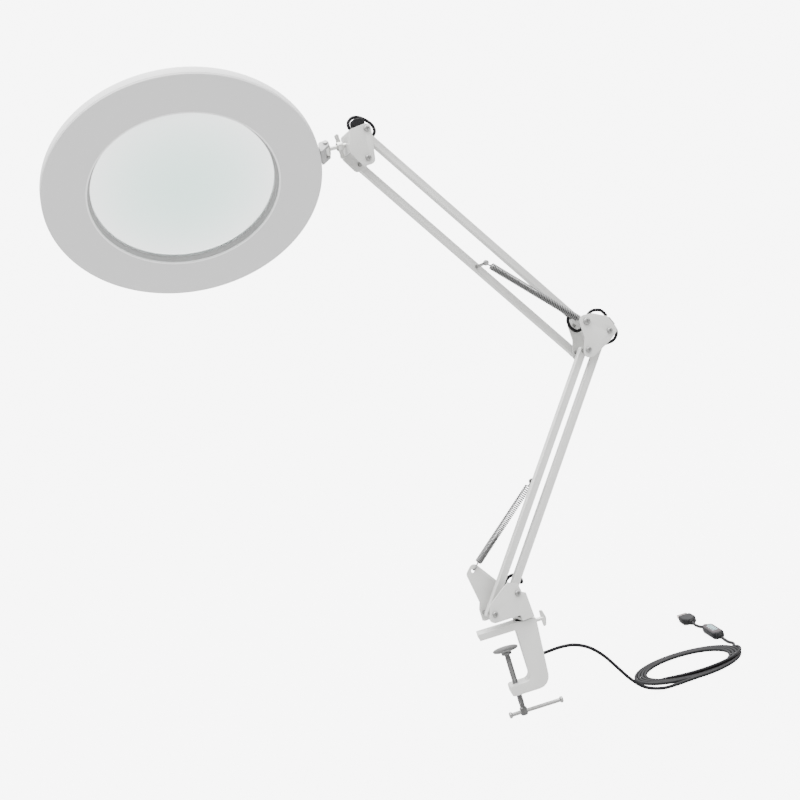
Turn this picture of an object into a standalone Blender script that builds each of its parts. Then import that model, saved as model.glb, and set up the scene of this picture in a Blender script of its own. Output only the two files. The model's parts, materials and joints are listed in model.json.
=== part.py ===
"""Swing-arm magnifying lamp with a table clamp, a round lens head and a USB lead.

World frame: +Z up along the clamp screw, +X along the clamp jaw towards its spine, origin on
the screw axis in the gripping face of the upper jaw. Lengths below are in millimetres, and
finish() turns them into metres. The arms lie in one vertical plane, the arm frame, whose own
X and Z are called u and z and whose depth is v. It turns about the post in the clamp's spine.
"""
import math

import bmesh
import bpy
from mathutils import Euler, Matrix, Vector

MM = 0.001
GAP = 0.3                 # clearance between two pieces that touch

# Clamp
CLAMP_DEPTH = 22.0
JAW_TIP_X = -21.7
JAW_TOP = 6.5
SPINE_X = 36.6
CLAMP_FLOOR = -61.0
POST_X = 25.2
POST_R = 4.0
SOCKET_DEPTH = 30.0
PAD_TOP = -16.0
PAD_R = 12.5
SPINDLE_R = 2.5
TOMMY_Z = -80.0
TOMMY_X = (-11.5, 36.5)
TOMMY_R = 1.9
THUMB_Z = 1.5
WING_X = 42.5

# Arms: pivots in the arm plane as (u, z)
ARM_TURN = math.radians(15.0)
LOWER_LENGTH = 276.0
UPPER_LENGTH = 287.0
LOWER_ANGLE = math.radians(51.1)
UPPER_ANGLE = math.radians(124.6)
BASE_STEP = Vector((28.0, 11.8))
HEAD_STEP = Vector((6.8, 27.2))
BAR = 7.0
BAR_BORE = 5.4
BAR_OVERHANG = 4.2
BOLT_R = 2.0
HALF_WIDTH = 15.0         # from the arm plane to a bracket's outer face
SHEET = 1.5
LINK_V = HALF_WIDTH + GAP + BAR / 2
CABLE_R = 1.6

LOWER_DIR = Vector((math.cos(LOWER_ANGLE), math.sin(LOWER_ANGLE)))
UPPER_DIR = Vector((math.cos(UPPER_ANGLE), math.sin(UPPER_ANGLE)))
B1 = Vector((-3.5, 34.6))
B2 = B1 - BASE_STEP
P3 = B1 + LOWER_LENGTH * LOWER_DIR
P2 = B2 + LOWER_LENGTH * LOWER_DIR
P1 = P2 + HEAD_STEP
H1 = P1 + UPPER_LENGTH * UPPER_DIR
H2 = P2 + UPPER_LENGTH * UPPER_DIR

# Springs
SPRING_R = 3.2
SPRING_WIRE = 0.65
EAR = Vector((-30.5, 64.7))
LOWER_STUD = 137.0        # along the lower link from B2
UPPER_STUD = 134.0        # along the upper link from P2
FRONT_SPRING_V = -9.4
REAR_SPRING_V = 11.2

# Head, in its own frame: z points out of the back, x points to the rim hinge
HEAD_R = 131.7
OPENING_R = 90.5
LENS_R = 89.0
PIN = Vector((-54.0, 0.0, 493.0))
PIN_IN_HEAD = Vector((HEAD_R + 7.6, 0.0, 14.0))
HEAD_TURN = Euler((math.radians(-40.6), math.radians(3.3), math.radians(-12.2)))
RING_STEPS = 44
LED_COUNT = 20
LED_HEIGHT = 1.2
BOARD_Z = (7.0, 8.4)

# Cord: it lies on the surface that FLOOR names
FLOOR = -113.0
CORD_R = 1.7
COIL = Vector((185.0, 100.0))
COIL_IN = 42.4
COIL_OUT = 59.0
COIL_HEIGHT = 7.4
CLIP = Vector((25.4, 14.7, -35.0))
CLIP_END = 32.7
CLIP_SCREW = Vector((29.05, 14.7, -44.0))
SWITCH_Y = (167.0, 217.0)
SWITCH_X = 242.0
PLUG_Y = 262.0
CORD_Z = FLOOR + CORD_R

# Turns that lay a rod along z across the arms, along x, or along the rim hinge's pin
ALONG_V = (math.radians(-90), 0, 0)
ALONG_X = (0, math.radians(90), 0)
HEAD_MATRIX = HEAD_TURN.to_matrix()
PIN_TURN = (HEAD_MATRIX @ Euler(ALONG_V).to_matrix()).to_euler()


def material(name, colour, roughness, metallic=0.0):
    """A Principled material in one colour."""
    made = bpy.data.materials.new(name)
    made.use_nodes = True
    shader = made.node_tree.nodes["Principled BSDF"]
    shader.inputs["Base Color"].default_value = (*colour, 1.0)
    shader.inputs["Roughness"].default_value = roughness
    shader.inputs["Metallic"].default_value = metallic
    return made


def empty(name, place, turn=None, parent=None):
    """A frame to build in, given in millimetres inside its parent's frame."""
    made = bpy.data.objects.new(name, None)
    bpy.context.scene.collection.objects.link(made)
    made.parent = parent
    made.location = Vector(place) * MM
    if turn is not None:
        made.rotation_euler = turn
    return made


def finish(name, shape, parent, paint, place=(0, 0, 0), turn=(0, 0, 0)):
    """Turn a shape in millimetres into a named object in its parent's frame."""
    bmesh.ops.scale(shape, vec=(MM, MM, MM), verts=shape.verts)
    bmesh.ops.recalc_face_normals(shape, faces=shape.faces)
    mesh = bpy.data.meshes.new(name)
    shape.to_mesh(mesh)
    shape.free()
    mesh.shade_smooth()
    mesh.set_sharp_from_angle(angle=math.radians(35))
    made = bpy.data.objects.new(name, mesh)
    bpy.context.scene.collection.objects.link(made)
    made.parent = parent
    made.location = Vector(place) * MM
    made.rotation_euler = turn
    if paint is None:
        made.hide_render = True
        made.display_type = "WIRE"
    else:
        mesh.materials.append(paint)
    return made


def combine(target, name, shape, parent, place=(0, 0, 0), turn=(0, 0, 0), operation="DIFFERENCE"):
    """Cut a shape out of an object, or join it on."""
    tool = finish(name, shape, parent, None, place, turn)
    modifier = target.modifiers.new(name, "BOOLEAN")
    modifier.operation = operation
    modifier.object = tool


def rounded(corners, steps=4):
    """An outline through (x, y, radius) corners, with an arc at each."""
    points = []
    for index, (x, y, radius) in enumerate(corners):
        here = Vector((x, y))
        back = (Vector(corners[index - 1][:2]) - here).normalized()
        ahead = (Vector(corners[(index + 1) % len(corners)][:2]) - here).normalized()
        if radius <= 0:
            points.append(here)
            continue
        half = back.angle(ahead) / 2
        centre = here + (back + ahead).normalized() * (radius / math.sin(half))
        start = here + back * (radius / math.tan(half)) - centre
        end = here + ahead * (radius / math.tan(half)) - centre
        sweep = start.angle_signed(end)
        for step in range(steps + 1):
            arm = Matrix.Rotation(-sweep * step / steps, 2) @ start
            points.append(centre + arm)
    return points


def slab(outline, low, high):
    """A plate with its outline in x and z, and its thickness along y."""
    shape = bmesh.new()
    near = [shape.verts.new((p[0], low, p[1])) for p in outline]
    face = shape.faces.new(near)
    moved = bmesh.ops.extrude_face_region(shape, geom=[face])
    verts = [item for item in moved["geom"] if isinstance(item, bmesh.types.BMVert)]
    bmesh.ops.translate(shape, verts=verts, vec=(0, high - low, 0))
    return shape


def lathe(profile, steps=24):
    """A ring or a solid turned about z from (radius, z) points that run round its section."""
    shape = bmesh.new()
    rings = []
    for radius, z in profile:
        if radius < 1e-6:
            rings.append([shape.verts.new((0, 0, z))] * steps)
            continue
        angles = [math.tau * step / steps for step in range(steps)]
        rings.append([shape.verts.new((radius * math.cos(a), radius * math.sin(a), z)) for a in angles])
    for index, ring in enumerate(rings):
        following = rings[(index + 1) % len(rings)]
        if ring[0] is ring[1] and following[0] is following[1]:
            continue
        for step in range(steps):
            after = (step + 1) % steps
            loop = [ring[step], ring[after], following[after], following[step]]
            shape.faces.new(list(dict.fromkeys(loop)))
    return shape


def ring_profile(inner, outer, low, high):
    """The rectangular section of a flat ring."""
    return [(inner, low), (outer, low), (outer, high), (inner, high)]


def rod(radius, low, high, steps=16, chamfer=0.0):
    """A round bar along z."""
    profile = [(0, low), (radius - chamfer, low)]
    if chamfer:
        profile += [(radius, low + chamfer), (radius, high - chamfer)]
    profile += [(radius - chamfer, high), (0, high)]
    return lathe(profile, steps)


def block(low, high):
    """A box between two corners."""
    shape = bmesh.new()
    bmesh.ops.create_cube(shape, size=1.0)
    low, high = Vector(low), Vector(high)
    bmesh.ops.scale(shape, vec=high - low, verts=shape.verts)
    bmesh.ops.translate(shape, vec=(low + high) / 2, verts=shape.verts)
    return shape


def soften(target, width, segments=1):
    """Bevel an object's sharp edges."""
    modifier = target.modifiers.new("soft_edges", "BEVEL")
    modifier.width = width * MM
    modifier.segments = segments
    modifier.limit_method = "ANGLE"
    modifier.angle_limit = math.radians(50)


def smooth_route(points, spacing):
    """Points along a smooth curve through the route's own points, evenly spread."""
    points = [Vector(point) for point in points]
    dense = []
    for index in range(len(points) - 1):
        before = points[max(index - 1, 0)]
        start, end = points[index], points[index + 1]
        after = points[min(index + 2, len(points) - 1)]
        for step in range(24):
            t = step / 24
            dense.append(0.5 * (2 * start + (end - before) * t
                                + (2 * before - 5 * start + 4 * end - after) * t * t
                                + (3 * start - before - 3 * end + after) * t ** 3))
    dense.append(points[-1])
    length = sum((b - a).length for a, b in zip(dense, dense[1:]))
    count = max(round(length / spacing), 1)
    even, walked, wanted = [dense[0]], 0.0, length / count
    for a, b in zip(dense, dense[1:]):
        piece = (b - a).length
        while walked + piece >= wanted - 1e-9 and len(even) < count:
            even.append(a.lerp(b, (wanted - walked) / piece))
            wanted += length / count
        walked += piece
    even.append(dense[-1])
    return even


def cable(name, route, radius, parent, paint, spacing=5.0):
    """A round cable along a route in its parent's frame."""
    points = smooth_route(route, spacing)
    curve = bpy.data.curves.new(name, "CURVE")
    curve.dimensions = "3D"
    curve.bevel_depth = radius * MM
    curve.bevel_resolution = 2
    curve.use_fill_caps = True
    line = curve.splines.new("POLY")
    line.points.add(len(points) - 1)
    for knot, point in zip(line.points, points):
        knot.co = (*(point * MM), 1.0)
    curve.materials.append(paint)
    made = bpy.data.objects.new(name, curve)
    bpy.context.scene.collection.objects.link(made)
    made.parent = parent
    return made


def spring(name, start, end, turns, parent, paint):
    """A helical tension spring between two anchors, with a straight hook at each end."""
    start, end = Vector(start), Vector(end)
    length = (end - start).length
    hook = 8.0
    steps = 6
    line = [Vector((0, 0, 1.2)), Vector((0, 0, hook - 1.5))]
    for step in range(turns * steps + 1):
        angle = math.tau * step / steps
        height = hook + (length - 2 * hook) * step / (turns * steps)
        reach = SPRING_R - SPRING_WIRE
        line.append(Vector((reach * math.cos(angle), reach * math.sin(angle), height)))
    line += [Vector((0, 0, length - hook + 1.5)), Vector((0, 0, length - 1.2))]
    shape = bmesh.new()
    rings = []
    for index, point in enumerate(line):
        ahead = (line[min(index + 1, len(line) - 1)] - line[max(index - 1, 0)]).normalized()
        out = Vector((point.x, point.y, 0))
        out = out.normalized() if out.length > 0.5 else Vector((1, 0, 0))
        side = ahead.cross(out).normalized()
        out = side.cross(ahead)
        corners = [math.tau * corner / 3 for corner in range(3)]
        wire = SPRING_WIRE * 1.25
        spread = [math.cos(a) * out + math.sin(a) * side for a in corners]
        rings.append([shape.verts.new(point + wire * arm) for arm in spread])
    for ring, following in zip(rings, rings[1:]):
        for corner in range(3):
            after = (corner + 1) % 3
            shape.faces.new([ring[corner], ring[after], following[after], following[corner]])
    shape.faces.new(rings[0])
    shape.faces.new(rings[-1])
    turn = (end - start).to_track_quat("Z", "Y").to_euler()
    return finish(name, shape, parent, paint, start, turn)


def across(point, v=0.0):
    """A point of the arm plane as a place in the arm frame."""
    return Vector((point[0], v, point[1]))


def pivot_bolt(name, point, parent, paint, rear=HALF_WIDTH, front_head=2.9):
    """A shouldered pivot screw through a bracket, headed at both ends."""
    front = -(HALF_WIDTH + GAP)
    rear = rear + GAP
    profile = [(0, front - 2.0), (front_head - 0.7, front - 2.0), (front_head, front - 1.2)]
    profile += [(front_head, front), (BOLT_R, front), (BOLT_R, rear), (3.2, rear)]
    profile += [(3.2, rear + 2.2), (0, rear + 2.2)]
    return finish(name, lathe(profile, 10), parent, paint, across(point), ALONG_V)


def bolt_hole(target, name, point, parent, low=-40.0, high=40.0):
    """A clearance hole along v."""
    hole = rod(BOLT_R + GAP, low, high, 12)
    combine(target, name, hole, parent, across(point), ALONG_V)


def bar(name, foot, angle, length, v, parent, paint, slots=()):
    """A square tube between two pivots, with a cable slot at each place that slots names."""
    turn = (0, -angle, 0)
    reach = BAR_OVERHANG
    half = BAR / 2
    corners = [(-reach, -half, 2.2), (length + reach, -half, 2.2)]
    corners += [(length + reach, half, 2.2), (-reach, half, 2.2)]
    made = finish(name, slab(rounded(corners, 3), v - half, v + half), parent, paint, across(foot), turn)
    bore = BAR_BORE / 2
    tunnel = block((-2 * reach, v - bore, -bore), (length + 2 * reach, v + bore, bore))
    combine(made, name + "_bore", tunnel, parent, across(foot), turn)
    for index, (place, side) in enumerate(slots):
        low, high = sorted((side * 0.5, side * (half + 2)))
        slot = block((place - 4.0, v - 2.1, low), (place + 4.0, v + 2.1, high))
        combine(made, f"{name}_slot_{index}", slot, parent, across(foot), turn)
    for index, place in enumerate((0.0, length)):
        at = foot + Vector((math.cos(angle), math.sin(angle))) * place
        bolt_hole(made, f"{name}_pivot_{index}", at, parent)
    return made


def wipe():
    """Remove the objects that the scene opened with."""
    for old in list(bpy.data.objects):
        bpy.data.objects.remove(old, do_unlink=True)


def build_clamp(paints):
    """The C clamp with its screw, pad, tommy bar, thumb screw and cable clip."""
    inner = 15.5
    outline = rounded([
        (JAW_TIP_X, 0, 0.8), (JAW_TIP_X, JAW_TOP, 0.8), (SPINE_X, JAW_TOP, 2.0),
        (31.6, CLAMP_FLOOR, 12.0), (-7.0, CLAMP_FLOOR, 2.5), (-7.0, -51.0, 2.5),
        (inner, -51.0, 6.0), (inner - 0.6, 0, 1.5)])
    half = CLAMP_DEPTH / 2
    root = empty("clamp_axis", (0, 0, 0))
    frame = finish("clamp_frame", slab(outline, -half, half), root, paints["body"])
    socket = rod(POST_R + GAP, -SOCKET_DEPTH, JAW_TOP + 5, 20)
    combine(frame, "post_socket", socket, root, (POST_X, 0, 0))
    thread = rod(SPINDLE_R + GAP, CLAMP_FLOOR - 5, -45, 16)
    combine(frame, "screw_hole", thread, root)
    thumb_hole = rod(2.0 + GAP, POST_X, SPINE_X + 5, 12)
    combine(frame, "thumb_hole", thumb_hole, root, (0, 0, THUMB_Z), ALONG_X)
    clip_hole = rod(1.5 + GAP, 0, 12, 10)
    combine(frame, "clip_hole", clip_hole, root, (CLIP_SCREW.x, 4.0, CLIP_SCREW.z), ALONG_V)

    pad = [(0, PAD_TOP), (PAD_R - 0.8, PAD_TOP), (PAD_R, PAD_TOP - 0.8), (PAD_R, PAD_TOP - 2.2)]
    pad += [(PAD_R - 1.0, PAD_TOP - 3.0), (5.0, PAD_TOP - 3.0), (5.0, PAD_TOP - 6.0)]
    pad += [(SPINDLE_R + GAP, PAD_TOP - 6.0), (SPINDLE_R + GAP, PAD_TOP - 3.0), (0, PAD_TOP - 3.0)]
    finish("pressure_pad", lathe(pad, 24), root, paints["body"])
    hub = 3.6
    screw = [(0, TOMMY_Z - hub), (hub - 0.8, TOMMY_Z - hub), (hub, TOMMY_Z - hub + 0.8)]
    screw += [(hub, TOMMY_Z + hub), (SPINDLE_R, TOMMY_Z + hub + 1.0)]
    screw += [(SPINDLE_R, PAD_TOP - 4.0), (SPINDLE_R - 0.7, PAD_TOP - 3.0 - GAP), (0, PAD_TOP - 3.0 - GAP)]
    spindle = finish("clamp_screw", lathe(screw, 16), root, paints["steel"])
    eye = rod(TOMMY_R + GAP, -10, 10, 10)
    combine(spindle, "tommy_eye", eye, root, (0, 0, TOMMY_Z), ALONG_X)
    knob, knob_r = 3.5, 2.8
    low, high = TOMMY_X
    tommy = [(0, low - knob), (knob_r - 0.7, low - knob), (knob_r, low - knob + 0.7), (knob_r, low)]
    tommy += [(TOMMY_R, low), (TOMMY_R, high), (knob_r, high), (knob_r, high + knob - 0.7)]
    tommy += [(knob_r - 0.7, high + knob), (0, high + knob)]
    finish("tommy_bar", lathe(tommy, 12), root, paints["steel"], (0, 0, TOMMY_Z), ALONG_X)

    half_wing = [(-0.5, 2.2, 0.5), (-0.3, 8.2, 1.0), (2.6, 7.6, 1.6)]
    wing = [(WING_X + x, THUMB_Z - z, radius) for x, z, radius in half_wing]
    wing += [(WING_X + 4.6, THUMB_Z, 7.0)]
    wing += [(WING_X + x, THUMB_Z + z, radius) for x, z, radius in reversed(half_wing)]
    wing = rounded(wing, 3)
    thumb = finish("thumb_screw", slab(wing, -1.4, 1.4), root, paints["zinc"])
    shank = rod(2.0, POST_X + POST_R + GAP, WING_X + 1.5, 12)
    combine(thumb, "thumb_shank", shank, root, (0, 0, THUMB_Z), ALONG_X, "UNION")

    washer = ring_profile(POST_R + GAP, 8.0, JAW_TOP + GAP, JAW_TOP + 1.0)
    finish("swivel_washer", lathe(washer, 24), root, paints["black"], (POST_X, 0, 0))
    clip = block((CLIP.x, half + GAP, CLIP.z - 13), (CLIP_END, CLIP.y + 3.4, CLIP.z + 4))
    clip = finish("cable_clip", clip, root, paints["black"])
    soften(clip, 0.8)
    combine(clip, "clip_tunnel", rod(CORD_R + GAP, 0, 60, 12), root, (0, CLIP.y, CLIP.z), ALONG_X)
    combine(clip, "clip_bore", rod(1.5 + GAP, -20, 20, 10), root, CLIP_SCREW, ALONG_V)
    head = [(0, -8), (1.5, -8), (1.5, 3.4 + GAP), (3.0, 3.4 + GAP), (3.0, 4.8), (2.4, 5.4), (0, 5.4)]
    finish("clip_screw", lathe(head, 12), root, paints["zinc"], CLIP_SCREW, ALONG_V)


def bracket(name, outline, inside, parent, paint):
    """Two cheeks and the web that joins them: a bent sheet, from its outline and its hollow."""
    made = finish(name, slab(outline, -HALF_WIDTH, HALF_WIDTH), parent, paint)
    hollow = slab(inside, SHEET - HALF_WIDTH, HALF_WIDTH - SHEET)
    combine(made, name + "_hollow", hollow, parent)
    return made


def build_base(arm, paints):
    """The swivelling bracket on its post, with the ear that anchors the lower spring."""
    floor = JAW_TOP + 1.0 + GAP
    outline = rounded([
        (-39.0, 17.5, 4.5), (-33.5, 14.6, 3.0), (-6.5, 13.6, 1.0), (-6.5, floor, 0.8),
        (6.5, floor, 0.8), (5.0, 32.6, 1.0), (1.2, 34.0, 1.0), (-0.4, 43.5, 3.0), (-9.5, 47.5, 1.5),
        (EAR.x + 2.5, EAR.y + 8.5, 5.0), (EAR.x - 7.5, EAR.y - 1.0, 5.0), (-33.0, 33.5, 1.0)])
    inside = [(-60, floor + 2), (4.7, floor + 2), (3.2, 40), (3.2, 100), (-60, 100)]
    made = bracket("base_bracket", outline, inside, arm, paints["body"])
    ear_side = slab([(-9.5, 48.0), (-33.5, 33.0), (-60, 40), (-60, 100), (-9.5, 100)],
                    -HALF_WIDTH - 1, HALF_WIDTH - SHEET)
    combine(made, "front_ear_cut", ear_side, arm)
    rear_edge = slab([(-60, 0), (B2.x - 4.0, 0), (B2.x - 4.0, 30), (-34.5, 36), (-60, 36)], 0, HALF_WIDTH + 1)
    combine(made, "rear_edge_cut", rear_edge, arm)
    for name, point in (("base_hole_right", B1), ("base_hole_left", B2)):
        bolt_hole(made, name, point, arm)
    combine(made, "ear_hole", rod(1.9, 0, 30, 12), arm, across(EAR), ALONG_V)
    combine(made, "post_hole", rod(POST_R + GAP, 0, 12, 20), arm)
    combine(made, "grommet_hole", rod(3.3, 5, 30, 12), arm, (-2.0, 0, 20.0), ALONG_V)
    post = [(0, 1.5 - SOCKET_DEPTH), (POST_R - 1, 1.5 - SOCKET_DEPTH), (POST_R, 2.5 - SOCKET_DEPTH)]
    post += [(POST_R, floor + 3.0), (POST_R - 0.6, floor + 3.6), (0, floor + 3.6)]
    finish("base_post", lathe(post, 20), arm, paints["steel"])
    grommet = [(CABLE_R + 0.5, -1.6), (4.6, -1.6), (4.6, -SHEET / 2 - 0.2), (3.0, -SHEET / 2 - 0.2)]
    grommet += [(3.0, SHEET / 2 + 0.2), (4.6, SHEET / 2 + 0.2), (4.6, 1.6), (CABLE_R + 0.5, 1.6)]
    plate_v = HALF_WIDTH - SHEET / 2
    finish("base_grommet", lathe(grommet, 12), arm, paints["black"], (-2.0, plate_v, 20.0), ALONG_V)
    pivot_bolt("base_bolt_right", B1, arm, paints["zinc"])
    pivot_bolt("base_bolt_left", B2, arm, paints["zinc"])


def build_lower_arm(arm, paints):
    """The lower cable bar and the lower link, side by side in the arm plane."""
    slots = ((12.0, -1), (LOWER_LENGTH - 11.0, -1))
    bar("lower_cable_bar", B1, LOWER_ANGLE, LOWER_LENGTH, 0, arm, paints["body"], slots)
    ends = [B1 + LOWER_DIR * place for place in (17.0, LOWER_LENGTH - 17.0)]
    cable("lower_bar_cable", [across(end) for end in ends], CABLE_R, arm, paints["black"], 300.0)
    link = bar("lower_link", B2, LOWER_ANGLE, LOWER_LENGTH, 0, arm, paints["body"])
    at = B2 + LOWER_DIR * LOWER_STUD
    combine(link, "lower_stud_hole", rod(1.5 + GAP, 0, 20, 10), arm, across(at), ALONG_V)
    stud = [(0, 1.0), (2.4, 1.0), (2.4, 2.4), (1.5, 2.4), (1.5, REAR_SPRING_V + 1.3)]
    stud += [(2.4, REAR_SPRING_V + 1.3), (2.4, REAR_SPRING_V + 2.6), (0, REAR_SPRING_V + 2.6)]
    finish("lower_spring_stud", lathe(stud, 12), arm, paints["zinc"], across(at), ALONG_V)
    anchor = across(EAR, HALF_WIDTH + 1.2)
    hooked = across(at, REAR_SPRING_V)
    away = (hooked - anchor).normalized()
    spring("lower_spring", anchor + away, hooked - away * 1.2, 20, arm, paints["steel"])


def build_elbow(arm, paints):
    """The floating bracket between the two arms."""
    outline = rounded([
        (141.0, 272.5, 6.0), (157.0, 271.0, 8.0), (172.5, 263.5, 4.0), (179.5, 248.0, 5.0),
        (168.0, 240.0, 4.0), (145.0, 229.5, 4.0), (134.5, 230.5, 5.0), (142.0, 250.0, 8.0)])
    web = Vector((172.5, 263.5)), Vector((179.5, 248.0))
    inward = Vector((web[1].y - web[0].y, web[0].x - web[1].x)).normalized() * SHEET
    low, high = web[1] + inward, web[0] + inward
    run = (high - low).normalized()
    inside = [low - run * 4, high - run * 1.5, high - run * 1.5 + Vector((0, 30))]
    inside += [(100, 300), (100, 200), (200, 200)]
    made = bracket("elbow_bracket", outline, inside, arm, paints["body"])
    for name, point in (("elbow_hole_top", P1), ("elbow_hole_left", P2), ("elbow_hole_right", P3)):
        bolt_hole(made, name, point, arm)
    pivot_bolt("elbow_bolt_top", P1, arm, paints["zinc"], front_head=3.6)
    pivot_bolt("elbow_bolt_left", P2, arm, paints["zinc"], rear=HALF_WIDTH + GAP + BAR)
    pivot_bolt("elbow_bolt_right", P3, arm, paints["zinc"])
    middle = (web[0] + web[1]) / 2
    tilt = math.atan2(run.y, run.x)
    holder = block((-5.0, -4.5, -6.3), (5.0, 4.5, -GAP))
    holder = finish("elbow_cable_block", holder, arm, paints["black"], across(middle), (0, -tilt, 0))
    soften(holder, 0.8)


def build_upper_arm(arm, paints):
    """The upper cable bar inside the brackets, and the upper link behind them."""
    slots = ((14.0, 1), (UPPER_LENGTH - 10.0, -1))
    bar("upper_cable_bar", P1, UPPER_ANGLE, UPPER_LENGTH, 0, arm, paints["body"], slots)
    ends = [P1 + UPPER_DIR * place for place in (19.0, UPPER_LENGTH - 16.0)]
    cable("upper_bar_cable", [across(end) for end in ends], CABLE_R, arm, paints["black"], 300.0)
    link = bar("upper_link", P2, UPPER_ANGLE, UPPER_LENGTH, LINK_V, arm, paints["body"])
    at = P2 + UPPER_DIR * UPPER_STUD
    combine(link, "upper_stud_hole", rod(1.5 + GAP, 0, 40, 10), arm, across(at), ALONG_V)
    front = FRONT_SPRING_V
    stud = [(0, front - 2.6), (2.4, front - 2.6), (2.4, front - 1.3), (1.5, front - 1.3)]
    stud += [(1.5, LINK_V + 1.0), (0, LINK_V + 1.0)]
    finish("upper_spring_stud", lathe(stud, 12), arm, paints["zinc"], across(at), ALONG_V)
    anchor, hooked = across(P1, FRONT_SPRING_V), across(at, FRONT_SPRING_V)
    away = (hooked - anchor).normalized()
    spring("upper_spring", anchor + away * 2.4, hooked - away * 1.2, 19, arm, paints["steel"])


def build_head_bracket(arm, paints):
    """The bracket that the two upper bars keep level, with the hollow stem that carries the head."""
    outline = rounded([
        (-8.6, 507.0, 5.5), (-15.2, 467.5, 5.0), (-27.0, 467.0, 4.5),
        (-36.5, 482.0, 3.0), (-31.5, 504.0, 3.0)])
    inside = [(-28.7, 510), (-34.5, 484.5), (-45, 478), (-40, 460)]
    inside += [(10, 460), (10, 515), (-45, 515), (-45, 503.5)]
    made = bracket("head_bracket", outline, inside, arm, paints["body"])
    for name, point in (("head_hole_top", H1), ("head_hole_low", H2)):
        bolt_hole(made, name, point, arm)
    stem_r = 2.0
    combine(made, "stem_hole", rod(stem_r + GAP, -45, -25, 12), arm, (0, 0, PIN.z), ALONG_X)
    pivot_bolt("head_bolt_top", H1, arm, paints["zinc"])
    pivot_bolt("head_bolt_low", H2, arm, paints["zinc"], rear=HALF_WIDTH + GAP + BAR)
    holder = block((-22.0, -14.6, 507.5), (-12.5, -4.0, 513.5))
    soften(finish("head_cable_block", holder, arm, paints["black"]), 0.8)

    inner_face = -30.6
    stem = [(0, PIN.x), (stem_r, PIN.x), (stem_r, inner_face), (4.2, inner_face + 0.4)]
    stem += [(4.2, inner_face + 2.6), (0, inner_face + 2.6)]
    made = finish("head_stem", lathe(stem, 12), arm, paints["steel"], (0, 0, PIN.z), ALONG_X)
    combine(made, "stem_knuckle", rod(4.0, -5.4, 5.4, 16), arm, PIN, PIN_TURN, "UNION")
    combine(made, "knuckle_bore", rod(1.5 + GAP, -9, 9, 10), arm, PIN, PIN_TURN)
    nut = [(2.4, -43.0), (4.6, -43.0), (4.6, -37.6), (2.4, -37.6)]
    nut = finish("stem_nut", lathe(nut, 12), arm, paints["zinc"], (0, 0, PIN.z), ALONG_X)
    for name, near, far in (("nut_wing_high", 3.4, 12.5), ("nut_wing_low", -12.5, -3.4)):
        wing = block((-42.6, -1.2, PIN.z + near), (-38.6, 1.2, PIN.z + far))
        combine(nut, name, wing, arm, operation="UNION")


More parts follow.
